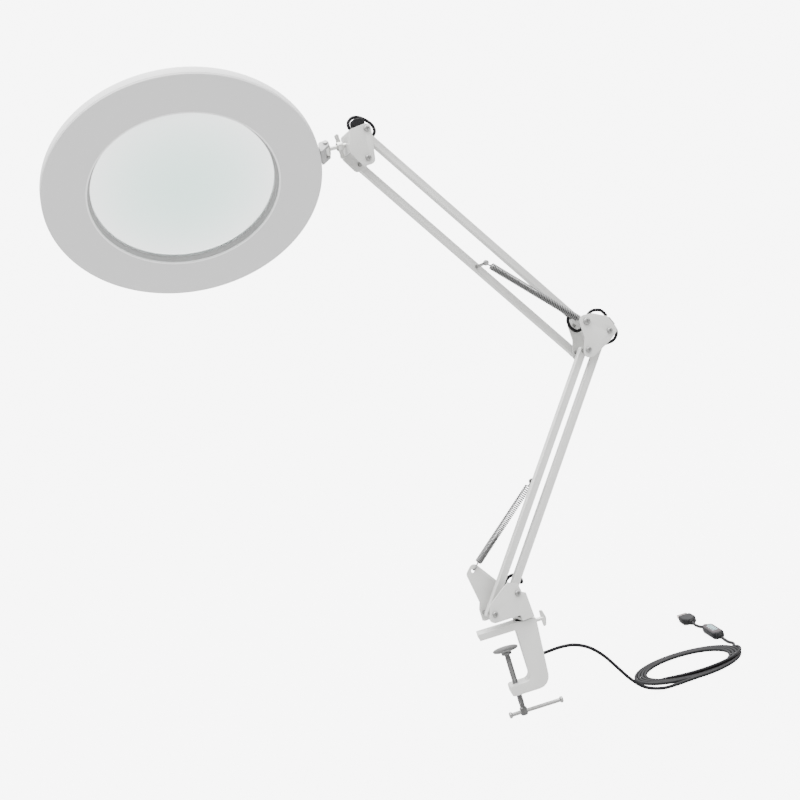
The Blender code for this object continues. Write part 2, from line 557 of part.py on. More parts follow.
def build_head(arm, paints):
    """The round housing with its light ring, its lens and the hinge on its rim."""
    centre = PIN - HEAD_MATRIX @ PIN_IN_HEAD
    head = empty("head_axis", centre, HEAD_TURN, arm)
    shell = [(HEAD_R, 2.3), (HEAD_R, 9.0), (HEAD_R - 1.6, 12.3), (HEAD_R - 6.0, 14.6), (112, 17.2)]
    shell += [(97, 16.6), (90, 14.8), (86.2, 12.4), (86.2, 10.2), (OPENING_R - 0.7, 10.2)]
    shell += [(OPENING_R - 0.7, 2.3), (OPENING_R + 1.3, 2.3), (OPENING_R + 1.3, 12.6), (98, 14.6)]
    shell += [(112, 15.2), (HEAD_R - 7.0, 12.7), (HEAD_R - 2.2, 8.6), (HEAD_R - 2.2, 2.3)]
    finish("head_housing", lathe(shell, RING_STEPS), head, paints["head"])
    cover = [(OPENING_R + 0.6, 0), (HEAD_R - 0.8, 0), (HEAD_R, 0.8), (HEAD_R, 2.0)]
    cover += [(OPENING_R - 0.7, 2.0), (OPENING_R - 0.7, 0.7)]
    finish("light_cover", lathe(cover, RING_STEPS), head, paints["cover"])

    board = lathe(ring_profile(98, 122, *BOARD_Z), 2 * LED_COUNT)
    under = [f for f in board.faces if all(abs(v.co.z - BOARD_Z[0]) < 0.01 for v in f.verts)]
    under.sort(key=lambda f: math.atan2(*f.calc_center_median().xy) % math.tau)
    bmesh.ops.inset_individual(board, faces=under[::2], thickness=4.2)
    for chip in under[::2]:
        bmesh.ops.translate(board, verts=chip.verts, vec=(0, 0, -LED_HEIGHT))
    finish("led_board", board, head, paints["board"])

    edge, middle, bulge = 6.4, 7.8, 4.6
    lens = [(0, edge - bulge)]
    lens += [(LENS_R * f, edge - bulge * (1 - f * f)) for f in (0.35, 0.65, 0.87)]
    lens += [(LENS_R, edge), (LENS_R, 2 * middle - edge - 0.1)]
    lens += [(LENS_R * f, 2 * middle - edge + bulge * (1 - f * f)) for f in (0.87, 0.65, 0.35)]
    lens += [(0, 2 * middle - edge + bulge)]
    finish("lens", lathe(lens, RING_STEPS - 8), head, paints["glass"])
    retainer = lathe(ring_profile(86.6, OPENING_R - 1.2, 3.2, 6.0), RING_STEPS)
    finish("lens_retainer", retainer, head, paints["head"])

    lug = rounded([(HEAD_R + 0.5, 4.0, 0.5), (HEAD_R + 2.5, 4.0, 1.0), (HEAD_R + 10.8, 11.0, 3.0),
                   (HEAD_R + 10.8, 17.2, 3.2), (HEAD_R + 0.8, 17.2, 3.0), (HEAD_R + 0.5, 12.0, 0.5)], 3)
    hinge = finish("rim_hinge", slab(lug, -8.6, 8.6), head, paints["dark"])
    swing = slab([(HEAD_R + 2.7, 30), (HEAD_R + 2.7, 8.0), (HEAD_R + 20, 2.0), (HEAD_R + 20, 30)], -5.8, 5.8)
    combine(hinge, "rim_hinge_slot", swing, head)
    combine(hinge, "rim_hinge_bore", rod(1.5 + GAP, -12, 12, 10), head, PIN_IN_HEAD, ALONG_V)
    pin = [(0, -10.2), (2.3, -10.2), (2.3, -8.6 - GAP), (1.5, -8.6 - GAP), (1.5, 8.6 + GAP)]
    pin += [(2.3, 8.6 + GAP), (2.3, 10.2), (0, 10.2)]
    finish("rim_pin", lathe(pin, 10), head, paints["zinc"], PIN_IN_HEAD, ALONG_V)


def build_arm_cables(arm, root, paints):
    """The short cable loops that cross the pivots."""
    black = paints["black"]
    base = [(-2, 11.2, 20), (-3.6, 9.4, 21.2), (-7.2, 8.6, 25.5), (-9.5, 8.5, 33), (-5, 8, 43)]
    base += [(2, 8, 49.5), (10, 7.5, 49), (13, 3.5, 43.5), (10.5, 1, 40.4), (8.4, 0, 40.6)]
    cable("base_cable_loop", base, CABLE_R, arm, black)
    upper = [(137.4, 0, 273.5), (137.0, 2, 269.5), (140, 5.5, 263), (147, 8, 258), (156, 8, 261)]
    upper += [(160, 6.5, 268.5), (166, 3.5, 273), (172.5, 0, 272), (176.5, 0, 268.5), (178.6, 0, 264.0)]
    cable("elbow_cable_upper", upper, CABLE_R, arm, black)
    lower = [(182.8, 0, 251.8), (184.5, 0, 247), (182.5, 0, 242), (177, 0, 238.3), (168.3, 0, 237.8)]
    cable("elbow_cable_lower", lower, CABLE_R, arm, black)
    tip = [(-4.6, 0, 495.6), (-0.8, 0, 499.5), (-1.0, 0, 507), (-6.5, 0, 514), (-14.5, -2, 517)]
    tip += [(-22.5, -5, 515), (-27, -8, 510.5), (-26.5, -9, 507.5), (-24.2, -9, 509.0)]
    cable("head_cable_loop", tip, CABLE_R, arm, black)
    swivel = [(18.6, 17.2, 20), (18.2, 19.5, 15.5), (18.6, 19.3, 5), (19.0, 17.0, -8), (19.1, 15.2, -19)]
    swivel += [(19.3, 14.7, -28), (21.2, 14.7, -33.2), (CLIP.x - GAP, 14.7, -35)]
    cable("swivel_cable_loop", swivel, CABLE_R, root, black)


def build_cord(root, paints):
    """The free cord: lead, coil, tail, in-line switch, tip and USB plug, lying as stored."""
    black = paints["black"]
    lead = [(CLIP_END + GAP, 14.7, -35), (42, 14.8, -34.6), (54, 15.5, -34.4), (68, 18, -37), (82, 21.5, -45)]
    lead += [(94, 25, -58), (104, 28.5, -74), (114, 32.5, -90), (126, 36.5, -103), (141, 39.5, -109.8)]
    lead += [(157, 41, CORD_Z), (168, 41.8, CORD_Z)]
    entry = math.radians(252)
    touch = COIL + (COIL_OUT + GAP + CORD_R) * Vector((math.cos(entry), math.sin(entry)))
    lead[-1] = (touch.x + 1.0, touch.y + 0.2, CORD_Z)
    lead[-2] = (154, 40.0, CORD_Z)
    cable("cord_lead", lead, CORD_R, root, black, 8.0)
    coil = lathe(ring_profile(COIL_IN, COIL_OUT, FLOOR + 0.02, FLOOR + COIL_HEIGHT), 40)
    finish("cord_coil", coil, root, black, (COIL.x, COIL.y, 0))
    clear = COIL_OUT + GAP + CORD_R
    tail = [(COIL.x + clear - 0.4, COIL.y + 6, CORD_Z), (SWITCH_X + 3.0, COIL.y + 22, CORD_Z)]
    tail += [(SWITCH_X + 1.0, COIL.y + 38, CORD_Z), (SWITCH_X, SWITCH_Y[0] - 12, FLOOR + 3.2)]
    tail += [(SWITCH_X, SWITCH_Y[0] - 10 - GAP, FLOOR + 3.8)]
    cable("cord_tail", tail, CORD_R, root, black)

    middle_z = FLOOR + 5.0
    low, high = SWITCH_Y
    body = rounded([(-6.7, FLOOR + 0.05, 1.5), (6.7, FLOOR + 0.05, 1.5),
                    (6.7, FLOOR + 9.0, 2.5), (-6.7, FLOOR + 9.0, 2.5)], 3)
    body = finish("switch_body", slab(body, low, high), root, paints["switch"], (SWITCH_X, 0, 0))
    for index in range(4):
        place = (SWITCH_X, low + 14.5 + 7.2 * index, 0)
        well = rod(2.8, FLOOR + 6.6, FLOOR + 15, 16)
        combine(body, f"button_well_{index + 1}", well, root, place)
        button = rod(2.5, FLOOR + 7.2, FLOOR + 10.2, 16, 0.5)
        finish(f"switch_button_{index + 1}", button, root, paints["button"], place)
    for name, start, way in (("switch_relief_in", low - GAP, -1), ("switch_relief_out", high + GAP, 1)):
        cone = lathe([(0, 0), (4.2, 0), (3.6, 3), (2.6, 10 - 2 * GAP), (0, 10 - 2 * GAP)], 12)
        turn = (math.radians(90 if way < 0 else -90), 0, 0)
        finish(name, cone, root, black, (SWITCH_X, start, middle_z - 0.5), turn)
    tip_start = high + 10
    tip = [(SWITCH_X, tip_start + GAP, FLOOR + 4.4), (SWITCH_X - 0.1, tip_start + 3, FLOOR + 4.0)]
    tip += [(SWITCH_X - 1.0, tip_start + 9, CORD_Z + 0.5), (SWITCH_X - 2.8, tip_start + 18, CORD_Z + 0.1)]
    tip += [(SWITCH_X - 4.6, tip_start + 26, CORD_Z + 1.0), (SWITCH_X - 5.0, PLUG_Y - 4, FLOOR + 4.0)]
    tip += [(SWITCH_X - 5.0, PLUG_Y - 2 * GAP, FLOOR + 4.3)]
    cable("cord_tip", tip, CORD_R, root, black)
    plug_x = SWITCH_X - 5.0
    half = [(3.0, 0, 0.6), (3.4, 8, 0), (8.3, 13, 2.5), (8.0, 36, 1.5)]
    grip = [(plug_x + x, PLUG_Y + y, radius) for x, y, radius in half]
    grip += [(plug_x - x, PLUG_Y + y, radius) for x, y, radius in reversed(half)]
    turned = slab(rounded(grip, 3), FLOOR + 0.05, FLOOR + 8.6)
    for vert in turned.verts:
        vert.co = Vector((vert.co.x, vert.co.z, vert.co.y))
    grip = finish("plug_grip", turned, root, black)
    soften(grip, 0.9)
    shell_low = PLUG_Y + 36 + GAP
    shell = block((plug_x - 6.0, shell_low, FLOOR + 2.05), (plug_x + 6.0, shell_low + 14, FLOOR + 6.55))
    shell = finish("plug_shell", shell, root, paints["shell"])
    mouth = block((plug_x - 5.6, shell_low + 1, FLOOR + 2.45), (plug_x + 5.6, shell_low + 20, FLOOR + 6.15))
    combine(shell, "plug_mouth", mouth, root)
    tongue_end = (plug_x + 5.2, shell_low + 13, FLOOR + 5.8)
    tongue = block((plug_x - 5.2, shell_low + 1 + GAP, FLOOR + 4.4), tongue_end)
    finish("plug_tongue", tongue, root, paints["board"])


def build():
    """Make every piece of the lamp."""
    wipe()
    paints = {
        "body": material("painted_metal", (0.60, 0.60, 0.59), 0.42, 0.25),
        "head": material("head_plastic", (0.62, 0.62, 0.62), 0.45),
        "cover": material("light_cover_plastic", (0.60, 0.60, 0.60), 0.5),
        "steel": material("spring_steel", (0.42, 0.42, 0.42), 0.3, 0.9),
        "zinc": material("zinc_plate", (0.55, 0.55, 0.53), 0.35, 0.8),
        "dark": material("dark_metal", (0.10, 0.10, 0.10), 0.4, 0.5),
        "black": material("black_rubber", (0.012, 0.012, 0.013), 0.45),
        "glass": material("lens_glass", (0.80, 0.88, 0.86), 0.05),
        "board": material("white_board", (0.78, 0.78, 0.74), 0.5),
        "switch": material("switch_shell", (0.11, 0.10, 0.105), 0.5),
        "button": material("teal_button", (0.22, 0.30, 0.30), 0.5),
        "shell": material("plug_plate", (0.62, 0.55, 0.54), 0.25, 0.9),
    }
    build_clamp(paints)
    root = bpy.data.objects["clamp_axis"]
    arm = empty("arm_axis", (POST_X, 0, 0), (0, 0, ARM_TURN))
    build_base(arm, paints)
    build_lower_arm(arm, paints)
    build_elbow(arm, paints)
    build_upper_arm(arm, paints)
    build_head_bracket(arm, paints)
    build_head(arm, paints)
    build_arm_cables(arm, root, paints)
    build_cord(root, paints)


build()
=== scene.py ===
"""The looks of a swing-arm magnifying lamp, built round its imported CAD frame.

Shapes are drawn in millimetres and MM turns them into metres. The arm frame stands on the post:
u runs along the plane of the arms, v across it and z up. The head frame has z out of the lamp's
back and x towards the hinge on its rim.
"""
import json
import math

import bmesh
import bpy
from mathutils import Euler, Matrix, Vector


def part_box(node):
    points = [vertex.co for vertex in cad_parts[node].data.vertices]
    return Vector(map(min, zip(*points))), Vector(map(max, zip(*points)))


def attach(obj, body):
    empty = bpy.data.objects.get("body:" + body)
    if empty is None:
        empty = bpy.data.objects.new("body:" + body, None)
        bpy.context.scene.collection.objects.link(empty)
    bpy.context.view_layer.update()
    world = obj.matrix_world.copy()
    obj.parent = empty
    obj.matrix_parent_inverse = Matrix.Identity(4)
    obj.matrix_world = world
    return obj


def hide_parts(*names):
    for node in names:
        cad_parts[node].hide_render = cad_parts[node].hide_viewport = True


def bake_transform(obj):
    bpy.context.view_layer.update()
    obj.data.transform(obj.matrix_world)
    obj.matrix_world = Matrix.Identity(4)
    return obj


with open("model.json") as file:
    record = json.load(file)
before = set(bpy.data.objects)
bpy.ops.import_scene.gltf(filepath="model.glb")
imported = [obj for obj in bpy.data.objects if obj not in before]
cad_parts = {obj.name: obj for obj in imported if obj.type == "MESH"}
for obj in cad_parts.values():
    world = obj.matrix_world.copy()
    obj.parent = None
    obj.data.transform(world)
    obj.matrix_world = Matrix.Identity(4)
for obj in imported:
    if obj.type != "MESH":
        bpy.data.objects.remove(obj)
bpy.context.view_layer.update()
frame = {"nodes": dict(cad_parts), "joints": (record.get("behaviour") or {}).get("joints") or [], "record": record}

MM = 0.001
JOINTS = {joint["name"]: joint for joint in frame["joints"]}

# The arm frame, and the pivots in it
ACROSS = Vector(JOINTS["lower_arm_pivot"]["axis"])
ALONG = ACROSS.cross(Vector((0, 0, 1)))
ARM = Matrix((ALONG, ACROSS, (0, 0, 1))).transposed().to_4x4()
ARM.translation = Vector(JOINTS["base_swivel"]["pos_m"])


def pivot(joint):
    """A joint's place in the arm frame, in millimetres."""
    return (ARM.inverted() @ Vector(JOINTS[joint]["pos_m"])) / MM


B1 = pivot("lower_arm_pivot")
B2 = pivot("lower_link_pivot")
P3 = pivot("elbow_pivot")
P1 = pivot("upper_arm_pivot")
P2 = pivot("upper_link_pivot")
H1 = pivot("head_level_pivot")
H2 = P2 + H1 - P1
PIN = pivot("head_tilt")
LOWER_DIR = (P3 - B1).normalized()
UPPER_DIR = (H1 - P1).normalized()
HALF_WIDTH = 15.0
GAP = 0.3
BAR = 7.0

# The head frame
HEAD_R = 131.7
OPENING_R = 90.5
LENS_R = 89.0
HEAD_TURN = Euler((math.radians(-40.6), math.radians(3.3), math.radians(-12.2)))
PIN_IN_HEAD = Vector((HEAD_R + 7.6, 0.0, 14.0))
HEAD_AXES = HEAD_TURN.to_matrix().to_4x4()
HEAD = ARM @ Matrix.Translation((PIN - HEAD_AXES @ PIN_IN_HEAD) * MM) @ HEAD_AXES

# The cord
CORD_R = 1.7
CABLE_R = 1.6
FLOOR = -113.0
CORD_Z = FLOOR + CORD_R
CLIP_END = 32.7
COIL = Vector((185.0, 100.0))
COIL_OUT = 59.0
COIL_WRAPS = 4
COIL_PITCH = 3.45
COIL_ENTRY = math.radians(252)
COIL_RUN_IN = math.radians(14)
COIL_LEAVE = 0.90
SWITCH_X = 242.0
SWITCH_Y = (167.0, 217.0)
PLUG_Y = 262.0
PLUG_X = SWITCH_X - 5.0

# Camera
CAMERA_PLACE = (-100.8, -1389.6, 281.0)
CAMERA_AZIMUTH = math.radians(-3.0)
CAMERA_DIP = math.radians(1.5)
CAMERA_ROLL = math.radians(16.8)
CAMERA_LENS = 64.9

# Light: what falls on things, what is seen, and what is seen through glass
FLOOR_GLOW, FLOOR_SEEN, FLOOR_THROUGH = 0.75, 6.6, 1.75
SKY_LEVEL, SKY_OVERHEAD, SKY_SEEN, SKY_THROUGH = 0.08, 11.0, 7.8, 2.8
BOX_SIZE = 1.2

STEEL_SIDES = 40


# ---------------------------------------------------------------- materials

def new_node(tree, kind, **values):
    """A shader node with its properties set, and its inputs set where a value names one."""
    made = tree.nodes.new(kind)
    for key, value in values.items():
        if hasattr(made, key):
            setattr(made, key, value)
        else:
            made.inputs[key.replace("_", " ")].default_value = value
    return made


def surface(name, colour, roughness, metallic=0.0, grain=900.0, bump=0.12, depth=0.05,
            patch=35.0, spread=0.05, rough_spread=0.08, stretch=(1, 1, 1), edge_wear_and_highlight=None, coat=0.0,
            specular=0.5):
    """A procedural finish: fine grain, slow patches of tone and, where an edge tone is given, lighter edges that
    are partly scuffed paint and partly a painted highlight.
    """
    made = bpy.data.materials.new(name)
    made.use_nodes = True
    tree = made.node_tree
    link = tree.links.new
    shader = tree.nodes["Principled BSDF"]
    shader.inputs["Metallic"].default_value = metallic
    shader.inputs["Coat Weight"].default_value = coat
    shader.inputs["Coat Roughness"].default_value = 0.2
    shader.inputs["Specular IOR Level"].default_value = specular
    where = new_node(tree, "ShaderNodeTexCoord")
    mapped = new_node(tree, "ShaderNodeMapping", Scale=stretch)
    link(where.outputs["Object"], mapped.inputs["Vector"])
    fine = new_node(tree, "ShaderNodeTexNoise", Scale=grain, Detail=3.0, Roughness=0.6)
    slow = new_node(tree, "ShaderNodeTexNoise", Scale=patch, Detail=4.0, Roughness=0.55)
    for texture in (fine, slow):
        link(mapped.outputs["Vector"], texture.inputs["Vector"])
    tone = new_node(tree, "ShaderNodeMix", data_type="RGBA")
    tone.inputs["A"].default_value = (*[c * (1 - spread) for c in colour], 1)
    tone.inputs["B"].default_value = (*[min(c * (1 + spread), 1) for c in colour], 1)
    link(slow.outputs["Fac"], tone.inputs["Factor"])
    shade = tone.outputs["Result"]
    gloss = new_node(tree, "ShaderNodeMapRange", From_Min=0.3, From_Max=0.7,
                     To_Min=roughness - rough_spread, To_Max=roughness + rough_spread)
    link(slow.outputs["Fac"], gloss.inputs["Value"])
    link(gloss.outputs["Result"], shader.inputs["Roughness"])
    # The lighter edge tone is partly scuffed paint and partly a painted highlight.
    if edge_wear_and_highlight is not None:
        shade = worn_and_highlit_edges(tree, shade, fine, edge_wear_and_highlight)
    link(shade, shader.inputs["Base Color"])
    relief = new_node(tree, "ShaderNodeBump", Strength=bump, Distance=depth * MM)
    link(fine.outputs["Fac"], relief.inputs["Height"])
    link(relief.outputs["Normal"], shader.inputs["Normal"])
    return made


def worn_and_highlit_edges(tree, shade, fine, colour):
    """Blend another tone in along an object's edges, broken up by the fine grain: partly scuffed paint, partly a
    painted highlight where light catches the edges.
    """
    link = tree.links.new
    softened = new_node(tree, "ShaderNodeBevel", samples=4, Radius=0.5 * MM)
    plain = new_node(tree, "ShaderNodeNewGeometry")
    match = new_node(tree, "ShaderNodeVectorMath", operation="DOT_PRODUCT")
    link(softened.outputs["Normal"], match.inputs[0])
    link(plain.outputs["Normal"], match.inputs[1])
    edge = new_node(tree, "ShaderNodeMapRange", From_Min=0.99, From_Max=0.90, To_Min=0.0, To_Max=0.7)
    link(match.outputs["Value"], edge.inputs["Value"])
    broken = new_node(tree, "ShaderNodeMath", operation="MULTIPLY")
    link(edge.outputs["Result"], broken.inputs[0])
    link(fine.outputs["Fac"], broken.inputs[1])
    mixed = new_node(tree, "ShaderNodeMix", data_type="RGBA")
    mixed.inputs["B"].default_value = (*colour, 1)
    link(broken.outputs["Value"], mixed.inputs["Factor"])
    link(shade, mixed.inputs["A"])
    return mixed.outputs["Result"]


def lens_glass():
    """Clear glass, a little greener where it is thick in the middle."""
    made = bpy.data.materials.new("lens_glass")
    made.use_nodes = True
    tree = made.node_tree
    shader = tree.nodes["Principled BSDF"]
    shader.inputs["Transmission Weight"].default_value = 1.0
    shader.inputs["IOR"].default_value = 1.49
    reach = new_node(tree, "ShaderNodeAttribute", attribute_name="from_axis")
    tint = new_node(tree, "ShaderNodeMix", data_type="RGBA")
    tint.inputs["A"].default_value = (0.64, 0.84, 0.78, 1)
    tint.inputs["B"].default_value = (0.97, 0.995, 0.99, 1)
    tree.links.new(reach.outputs["Fac"], tint.inputs["Factor"])
    tree.links.new(tint.outputs["Result"], shader.inputs["Base Color"])
    smudge = new_node(tree, "ShaderNodeTexNoise", Scale=30.0, Detail=3.0)
    haze = new_node(tree, "ShaderNodeMapRange", From_Min=0.4, From_Max=0.8, To_Min=0.01, To_Max=0.06)
    tree.links.new(smudge.outputs["Fac"], haze.inputs["Value"])
    tree.links.new(haze.outputs["Result"], shader.inputs["Roughness"])
    return made


PAINT = {
    # The lighter edge tones of painted_metal and dark_metal are partly scuffed paint and partly a painted
    # highlight.
    "painted_metal": surface("painted_metal", (0.53, 0.53, 0.515), 0.42, 0.15, grain=1100, bump=0.22,
                             edge_wear_and_highlight=(0.72, 0.72, 0.71), coat=0.15),
    "head_plastic": surface("head_plastic", (0.62, 0.62, 0.62), 0.42, grain=1500, bump=0.10, spread=0.02),
    "cover_plastic": surface("cover_plastic", (0.56, 0.56, 0.56), 0.5, grain=2200, bump=0.12,
                             spread=0.015),
    "bezel": surface("bezel_plastic", (0.80, 0.80, 0.80), 0.35, grain=1500, bump=0.08, spread=0.02),
    # The recess wall is dark grey: painted shade in the recess round the lens.
    "wall": surface("recess_painted_shade", (0.30, 0.30, 0.30), 0.5, grain=1500, bump=0.10, spread=0.04),
    "steel": surface("spring_steel", (0.17, 0.17, 0.17), 0.40, 1.0, grain=700, bump=0.15, spread=0.10),
    "turned": surface("turned_steel", (0.11, 0.11, 0.11), 0.30, 1.0, grain=500, bump=0.2, spread=0.12,
                      stretch=(1, 1, 6)),
    "pad": surface("pad_steel", (0.12, 0.12, 0.12), 0.28, 0.95, grain=600, bump=0.15, spread=0.10),
    "zinc": surface("zinc_plate", (0.62, 0.62, 0.60), 0.36, 0.95, grain=450, bump=0.15, spread=0.10),
    "screw": surface("screw_zinc", (0.30, 0.30, 0.295), 0.40, 0.9, grain=600, bump=0.2, spread=0.12),
    # Its lighter edge tone is partly scuffed paint and partly a painted highlight.
    "dark": surface("dark_metal", (0.32, 0.32, 0.32), 0.45, 0.4, grain=900, bump=0.2,
                    edge_wear_and_highlight=(0.45, 0.45, 0.45)),
    "black": surface("cord_pvc", (0.007, 0.007, 0.008), 0.55, grain=1400, bump=0.18, spread=0.15,
                     specular=0.12),
    "moulded": surface("moulded_rubber", (0.009, 0.009, 0.010), 0.6, grain=1800, bump=0.3, spread=0.1,
                       specular=0.12),
    "switch": surface("switch_face", (0.050, 0.043, 0.046), 0.65, grain=2400, bump=0.25, spread=0.06,
                      specular=0.06),
    "button": surface("button_rubber", (0.17, 0.25, 0.265), 0.42, grain=1800, bump=0.15, spread=0.08),
    "mark": surface("button_ring", (0.42, 0.50, 0.52), 0.5, grain=1800, bump=0.1, spread=0.05),
    "plate": surface("plug_plate", (0.80, 0.70, 0.68), 0.26, 0.85, grain=500, bump=0.12, spread=0.06),
    "board": surface("white_board", (0.78, 0.78, 0.74), 0.5, grain=1500, bump=0.1),
    "gold": surface("contact_gold", (0.80, 0.58, 0.25), 0.25, 1.0, grain=900, bump=0.1),
    "lens": lens_glass(),
}


# ---------------------------------------------------------------- shapes

def skin(rings, closed=False):
    """A surface through rings of points, capped at its two ends unless it closes on itself."""
    shape = bmesh.new()
    loops = [[shape.verts.new(point) for point in ring] for ring in rings]
    pairs = list(zip(loops, loops[1:]))
    if closed:
        pairs.append((loops[-1], loops[0]))
    for ring, following in pairs:
        for index in range(len(ring)):
            after = (index + 1) % len(ring)
            shape.faces.new((ring[index], ring[after], following[after], following[index]))
    if not closed:
        shape.faces.new(loops[0])
        shape.faces.new(loops[-1])
    return shape


def turned(profile, steps=STEEL_SIDES, closed=False):
    """A solid turned about z from (radius, z) points, or a ring where the section closes."""
    angles = [math.tau * step / steps for step in range(steps)]
    return skin([[(r * math.cos(a), r * math.sin(a), z) for a in angles] for r, z in profile], closed)


def rounded(corners, steps=5, closed=True):
    """A line through (x, y, radius) corners, with an arc at each that has a radius."""
    points = []
    for index, (x, y, radius) in enumerate(corners):
        here = Vector((x, y))
        if radius <= 0 or (not closed and index in (0, len(corners) - 1)):
            points.append(here)
            continue
        back = (Vector(corners[index - 1][:2]) - here).normalized()
        ahead = (Vector(corners[(index + 1) % len(corners)][:2]) - here).normalized()
        half = back.angle(ahead) / 2
        centre = here + (back + ahead).normalized() * (radius / math.sin(half))
        start = here + back * (radius / math.tan(half)) - centre
        end = here + ahead * (radius / math.tan(half)) - centre
        sweep = start.angle_signed(end)
        for step in range(steps + 1):
            points.append(centre + Matrix.Rotation(-sweep * step / steps, 2) @ start)
    return points


def pill(half_x, half_y, radius, steps=6):
    """The points round a rectangle with round corners."""
    radius = min(radius, half_x, half_y) - 1e-4
    points = []
    for corner, (sign_x, sign_y) in enumerate(((1, 1), (-1, 1), (-1, -1), (1, -1))):
        for step in range(steps + 1):
            angle = math.pi / 2 * (corner + step / steps)
            points.append((sign_x * (half_x - radius) + radius * math.cos(angle),
                           sign_y * (half_y - radius) + radius * math.sin(angle)))
    return points


def stack(levels):
    """A body through rounded rectangles, each (half_x, half_y, corner radius, z)."""
    return skin([[(x, y, z) for x, y in pill(half_x, half_y, radius)]
                 for half_x, half_y, radius, z in levels])


def smooth_route(points, spacing):
    """Points along a smooth curve through the route's own points, evenly spread."""
    points = [Vector(point) for point in points]
    dense = []
    for index in range(len(points) - 1):
        before = points[max(index - 1, 0)]
        start, end = points[index], points[index + 1]
        after = points[min(index + 2, len(points) - 1)]
        for step in range(24):
            t = step / 24
            dense.append(0.5 * (2 * start + (end - before) * t
                                + (2 * before - 5 * start + 4 * end - after) * t * t
                                + (3 * start - before - 3 * end + after) * t ** 3))
    dense.append(points[-1])
    length = sum((b - a).length for a, b in zip(dense, dense[1:]))
    count = max(round(length / spacing), 1)
    even, walked, wanted = [dense[0]], 0.0, length / count
    for a, b in zip(dense, dense[1:]):
        run = (b - a).length
        while walked + run >= wanted - 1e-9 and len(even) < count:
            even.append(a.lerp(b, (wanted - walked) / run))
            wanted += length / count
        walked += run
    even.append(dense[-1])
    return even


def sweep(line, radius, sides=12):
    """A round tube along a line of points."""
    line = [Vector(point) for point in line]
    angles = [math.tau * side / sides for side in range(sides)]
    rings, out = [], None
    for index, point in enumerate(line):
        ahead = (line[min(index + 1, len(line) - 1)] - line[max(index - 1, 0)]).normalized()
        if out is None:
            out = ahead.orthogonal()
        out = (out - ahead * out.dot(ahead)).normalized()
        side = ahead.cross(out)
        rings.append([point + radius * (math.cos(a) * out + math.sin(a) * side) for a in angles])
    return skin(rings)


def merge(shapes):
    """Several shapes in one."""
    whole = bmesh.new()
    for shape in shapes:
        mesh = bpy.data.meshes.new("part")
        shape.to_mesh(mesh)
        shape.free()
        whole.from_mesh(mesh)
        bpy.data.meshes.remove(mesh)
    return whole


def moved(shape, place=(0, 0, 0), turn=(0, 0, 0)):
    """A shape turned and then shifted, in millimetres."""
    shape.transform(Matrix.Translation(Vector(place)) @ Euler(turn).to_matrix().to_4x4())
    return shape


def piece(name, shape, paint, body=None, place=None, nodes=(), angle=38):
    """Make a shape in millimetres a piece that rides on a body and stands for CAD nodes."""
    bmesh.ops.recalc_face_normals(shape, faces=shape.faces)
    shape.transform(Matrix.Scale(MM, 4))
    if place is not None:
        shape.transform(place)
    mesh = bpy.data.meshes.new(name)
    shape.to_mesh(mesh)
    shape.free()
    mesh.shade_smooth()
    mesh.set_sharp_from_angle(angle=math.radians(angle))
    mesh.materials.append(PAINT[paint])
    made = bpy.data.objects.new(name, mesh)
    bpy.context.scene.collection.objects.link(made)
    if body is not None:
        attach(made, body)
    if nodes:
        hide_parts(*nodes)
    return made


def body_of(node):
    """The name of the body that a CAD node belongs to."""
    groups = frame["record"]["behaviour"]["bodies"]
    return next(body for body, members in groups.items() if node in members)


def refined(node, paint, width=0.4, segments=3):
    """A CAD node's own shape with its sharp edges rounded off."""
    shape = bmesh.new()
    shape.from_mesh(frame["nodes"][node].data)
    bmesh.ops.remove_doubles(shape, verts=shape.verts, dist=0.002 * MM)
    flat, corner = math.radians(0.5), math.radians(40)
    bmesh.ops.dissolve_limit(shape, angle_limit=flat, verts=shape.verts, edges=shape.edges)
    sharp = [edge for edge in shape.edges if edge.is_manifold and edge.calc_face_angle(0) > corner]
    bmesh.ops.bevel(shape, geom=sharp, offset=width * MM, offset_type="OFFSET", segments=segments,
                    profile=0.5, affect="EDGES", clamp_overlap=True)
    shape.transform(Matrix.Scale(1 / MM, 4))
    return piece(node + "_shape", shape, paint, body_of(node), nodes=(node,))


# ---------------------------------------------------------------- camera and stage

def build_camera():
    """The camera, looking almost level and rolled, so that the lamp leans."""
    azimuth, dip, roll = CAMERA_AZIMUTH, CAMERA_DIP, CAMERA_ROLL
    level = Vector((-math.sin(azimuth), math.cos(azimuth), 0))
    forward = level * math.cos(dip) - Vector((0, 0, math.sin(dip)))
    right = Vector((math.cos(azimuth), math.sin(azimuth), 0))
    up = right.cross(forward)
    side = math.cos(roll) * right - math.sin(roll) * up
    top = math.cos(roll) * up + math.sin(roll) * right
    lens = bpy.data.cameras.new("camera")
    lens.lens = CAMERA_LENS
    lens.clip_start, lens.clip_end = 0.05, 60.0
    camera = bpy.data.objects.new("camera", lens)
    bpy.context.scene.collection.objects.link(camera)
    camera.matrix_world = Matrix((side, top, -forward)).transposed().to_4x4()
    camera.location = Vector(CAMERA_PLACE) * MM
    bpy.context.scene.camera = camera


def area_light(name, place, target, power):
    """A square soft box that looks at a target, in metres."""
    lamp = bpy.data.lights.new(name, "AREA")
    lamp.size = BOX_SIZE
    lamp.energy = power
    made = bpy.data.objects.new(name, lamp)
    bpy.context.scene.collection.objects.link(made)
    made.location = place
    made.rotation_euler = (Vector(target) - Vector(place)).to_track_quat("-Z", "Y").to_euler()


def seen_strength(tree, lit, seen, through):
    """A strength for the light that falls on things, and others for what the camera and the glass see."""
    path = new_node(tree, "ShaderNodeLightPath")
    for ray, strength in (("Is Transmission Ray", through), ("Is Camera Ray", seen)):
        mixed = new_node(tree, "ShaderNodeMix", B=strength)
        tree.links.new(path.outputs[ray], mixed.inputs["Factor"])
        if isinstance(lit, float):
            mixed.inputs["A"].default_value = lit
        else:
            tree.links.new(lit, mixed.inputs["A"])
        lit = mixed.outputs["Result"]
    return lit


